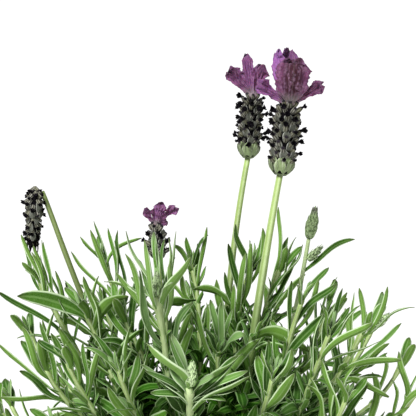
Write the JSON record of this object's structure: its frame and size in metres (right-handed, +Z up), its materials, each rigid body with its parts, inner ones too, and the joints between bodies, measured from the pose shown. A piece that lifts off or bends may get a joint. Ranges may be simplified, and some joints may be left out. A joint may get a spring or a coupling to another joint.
{
  "type": "potted spanish lavender",
  "caption": "Bushy spanish lavender in a round clay pot: narrow grey-green leaves, dark oval flower spikes on tall stalks with tufts of purple bracts on top.",
  "frame": {"origin": "centre of the pot's underside, on the plane it stands on", "axes": "+Z up, +Y away from the viewer as pictured, +X to the viewer's right"},
  "size_m": [0.1975, 0.1856, 0.3305],
  "materials": {
    "terracotta": "matte",
    "potting_mix": "matte",
    "bark": "matte",
    "bracts": "matte",
    "calyces": "matte",
    "stalks": "matte",
    "buds": "matte",
    "leaves": "matte"
  },
  "bodies": {
    "root": {"pot": "terracotta", "soil": "potting_mix", "woody_crown": "bark", "flower_1_crown": "bracts", "flower_2_crown": "bracts", "flower_4_crown": "bracts", "flower_1_spike": "calyces", "flower_2_spike": "calyces", "flower_3_spike": "calyces", "flower_4_spike": "calyces", "bud_5": "buds", "bud_5_side": "buds", "bud_6": "buds", "bud_7": "buds", "bud_8": "buds", "leafy_shoot_left": "leaves", "leafy_shoot_left_low": "leaves", "leafy_shoot_left_skirt": "leaves", "leafy_shoot_left_tall": "leaves", "flower_3_stalk": "stalks", "leafy_shoot_left_back": "leaves", "leafy_shoot_front_left": "leaves", "leafy_shoot_left_broad": "leaves", "leafy_shoot_front_left_skirt": "leaves", "leafy_shoot_centre": "leaves", "leafy_shoot_front": "leaves", "leafy_shoot_front_inner": "leaves", "leafy_shoot_front_skirt": "leaves", "flower_4_stalk": "stalks", "leafy_shoot_middle": "leaves", "leafy_shoot_middle_left": "leaves", "flower_1_stalk": "stalks", "leafy_shoot_front_fan": "leaves", "leafy_shoot_front_right_inner": "leaves", "leafy_shoot_front_right_skirt": "leaves", "leafy_shoot_right_tall": "leaves", "leafy_shoot_middle_right": "leaves", "flower_2_stalk": "stalks", "leafy_shoot_right": "leaves", "leafy_shoot_right_low": "leaves", "leafy_shoot_right_bud": "leaves", "leafy_shoot_front_right": "leaves", "leafy_shoot_front_right_low": "leaves", "leafy_shoot_right_broad": "leaves", "leafy_shoot_right_skirt": "leaves", "leafy_shoot_right_back": "leaves", "flower_5_stalk": "stalks", "leafy_shoot_right_back_low": "leaves", "leafy_shoot_back_right": "leaves", "leafy_shoot_back_right_low": "leaves", "leafy_shoot_back_right_skirt": "leaves", "leafy_shoot_back": "leaves", "leafy_shoot_back_low": "leaves", "leafy_shoot_back_skirt": "leaves", "leafy_shoot_back_left": "leaves", "leafy_shoot_back_left_low": "leaves", "leafy_shoot_back_left_skirt": "leaves"}
  },
  "joints": []
}
